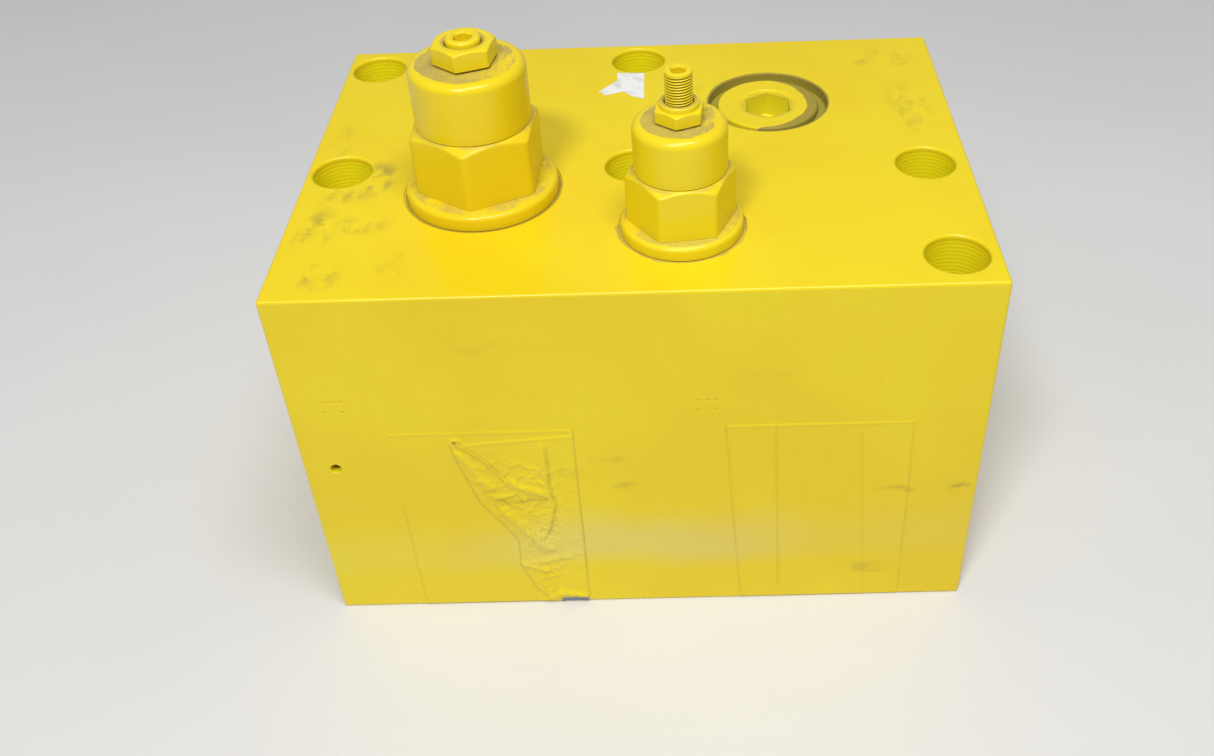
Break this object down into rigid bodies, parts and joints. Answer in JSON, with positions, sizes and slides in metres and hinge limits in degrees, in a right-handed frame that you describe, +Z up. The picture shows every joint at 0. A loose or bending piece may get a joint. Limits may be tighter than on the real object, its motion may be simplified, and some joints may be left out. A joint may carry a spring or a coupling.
{
  "type": "hydraulic monoblock valve",
  "caption": "Painted steel hydraulic manifold block with two adjustable screw-in relief cartridges, a gallery plug, counterbored mounting holes and masked front ports.",
  "frame": {"origin": "middle of the block's bottom mounting face", "axes": "+Z up, +X to the right along the long side of the block, front face with the masked ports towards -Y"},
  "size_m": [0.32, 0.2359, 0.2757],
  "materials": {
    "yellow_paint": "thick glossy sprayed yellow enamel with light orange peel, dust and grey scuffs",
    "painted_screw": "yellow enamel over cut thread, thin in the grooves",
    "painted_tape": "masking tape stuck over the ports and sprayed over with the same yellow enamel, slightly wrinkled",
    "label_paper": "torn white paper label scrap",
    "bare_steel": "turned and ground steel, lightly oiled",
    "spring_steel": "dark oil-hardened wire",
    "seal_washer": "thin bonded washer, dusty",
    "seal_rubber": "smooth black nitrile",
    "backup_ring": "cream sealing plastic"
  },
  "bodies": {
    "valve_body": {"manifold_block": "yellow_paint", "gallery_plug": "yellow_paint", "gallery_plug_seal": "seal_rubber", "tank_gallery_plug": "bare_steel", "cross_gallery_plug": "bare_steel", "pressure_foot_seal": "seal_rubber", "tank_foot_seal": "seal_rubber", "left_port_tape": "painted_tape", "right_port_tape": "painted_tape", "label_remnant": "label_paper", "main_cartridge_body": "yellow_paint", "main_spring_cap": "yellow_paint", "main_valve_seat": "bare_steel", "main_spring": "spring_steel", "main_body_seal": "seal_rubber", "main_nose_seal": "seal_rubber", "main_nose_backup_ring": "backup_ring", "secondary_cartridge_body": "yellow_paint", "secondary_spring_cap": "yellow_paint", "secondary_valve_seat": "bare_steel", "secondary_spring": "spring_steel", "secondary_body_seal": "seal_rubber", "secondary_nose_seal": "seal_rubber", "secondary_nose_backup_ring": "backup_ring"},
    "main_plunger_group": {"main_plunger": "bare_steel", "main_plunger_seal": "seal_rubber"},
    "main_screw_group": {"main_adjusting_screw": "painted_screw"},
    "main_nut_seal_group": {"main_nut_seal": "seal_washer"},
    "main_nut_group": {"main_lock_nut": "yellow_paint"},
    "main_poppet_group": {"main_poppet": "bare_steel"},
    "secondary_plunger_group": {"secondary_plunger": "bare_steel", "secondary_plunger_seal": "seal_rubber"},
    "secondary_screw_group": {"secondary_adjusting_screw": "painted_screw"},
    "secondary_nut_seal_group": {"secondary_nut_seal": "seal_washer"},
    "secondary_nut_group": {"secondary_lock_nut": "yellow_paint"},
    "secondary_poppet_group": {"secondary_poppet": "bare_steel"}
  },
  "joints": [
    {"name": "main_preload_slide", "type": "slide", "parent": "valve_body", "child": "main_plunger_group", "axis": [0, 0, 1], "range_m": [-0.001, 0.012], "deforming": ["main_spring"]},
    {"name": "main_screw_turn", "type": "hinge", "parent": "main_plunger_group", "child": "main_screw_group", "pos_m": [-0.0718, -0.0309, 0.2585], "axis": [0, 0, 1], "range_deg": [-240, 2880]},
    {"name": "main_nut_seal_slide", "type": "slide", "parent": "valve_body", "child": "main_nut_seal_group", "axis": [0, 0, 1], "range_m": [0, 0.00225]},
    {"name": "main_lock_nut_turn", "type": "hinge", "parent": "main_nut_seal_group", "child": "main_nut_group", "pos_m": [-0.0718, -0.0309, 0.2585], "axis": [0, 0, 1], "range_deg": [0, 540]},
    {"name": "main_poppet_lift", "type": "slide", "parent": "valve_body", "child": "main_poppet_group", "axis": [0, 0, 1], "range_m": [0, 0.003], "stiffness_N_per_m": 300, "deforming": ["main_spring"]},
    {"name": "secondary_preload_slide", "type": "slide", "parent": "valve_body", "child": "secondary_plunger_group", "axis": [0, 0, 1], "range_m": [-0.01375, 0.00083], "deforming": ["secondary_spring"]},
    {"name": "secondary_screw_turn", "type": "hinge", "parent": "secondary_plunger_group", "child": "secondary_screw_group", "pos_m": [0.0217, -0.0674, 0.2585], "axis": [0, 0, 1], "range_deg": [-3960, 240]},
    {"name": "secondary_nut_seal_slide", "type": "slide", "parent": "valve_body", "child": "secondary_nut_seal_group", "axis": [0, 0, 1], "range_m": [0, 0.00187]},
    {"name": "secondary_lock_nut_turn", "type": "hinge", "parent": "secondary_nut_seal_group", "child": "secondary_nut_group", "pos_m": [0.0217, -0.0674, 0.2585], "axis": [0, 0, 1], "range_deg": [0, 540]},
    {"name": "secondary_poppet_lift", "type": "slide", "parent": "valve_body", "child": "secondary_poppet_group", "axis": [0, 0, 1], "range_m": [0, 0.0025], "stiffness_N_per_m": 150, "deforming": ["secondary_spring"]}
  ],
  "couplings": [
    {"joint": "main_screw_turn", "follows": "main_preload_slide", "rad_per_m": 4188.8},
    {"joint": "main_lock_nut_turn", "follows": "main_nut_seal_slide", "rad_per_m": 4188.8},
    {"joint": "secondary_screw_turn", "follows": "secondary_preload_slide", "rad_per_m": 5026.5},
    {"joint": "secondary_lock_nut_turn", "follows": "secondary_nut_seal_slide", "rad_per_m": 5026.5}
  ]
}
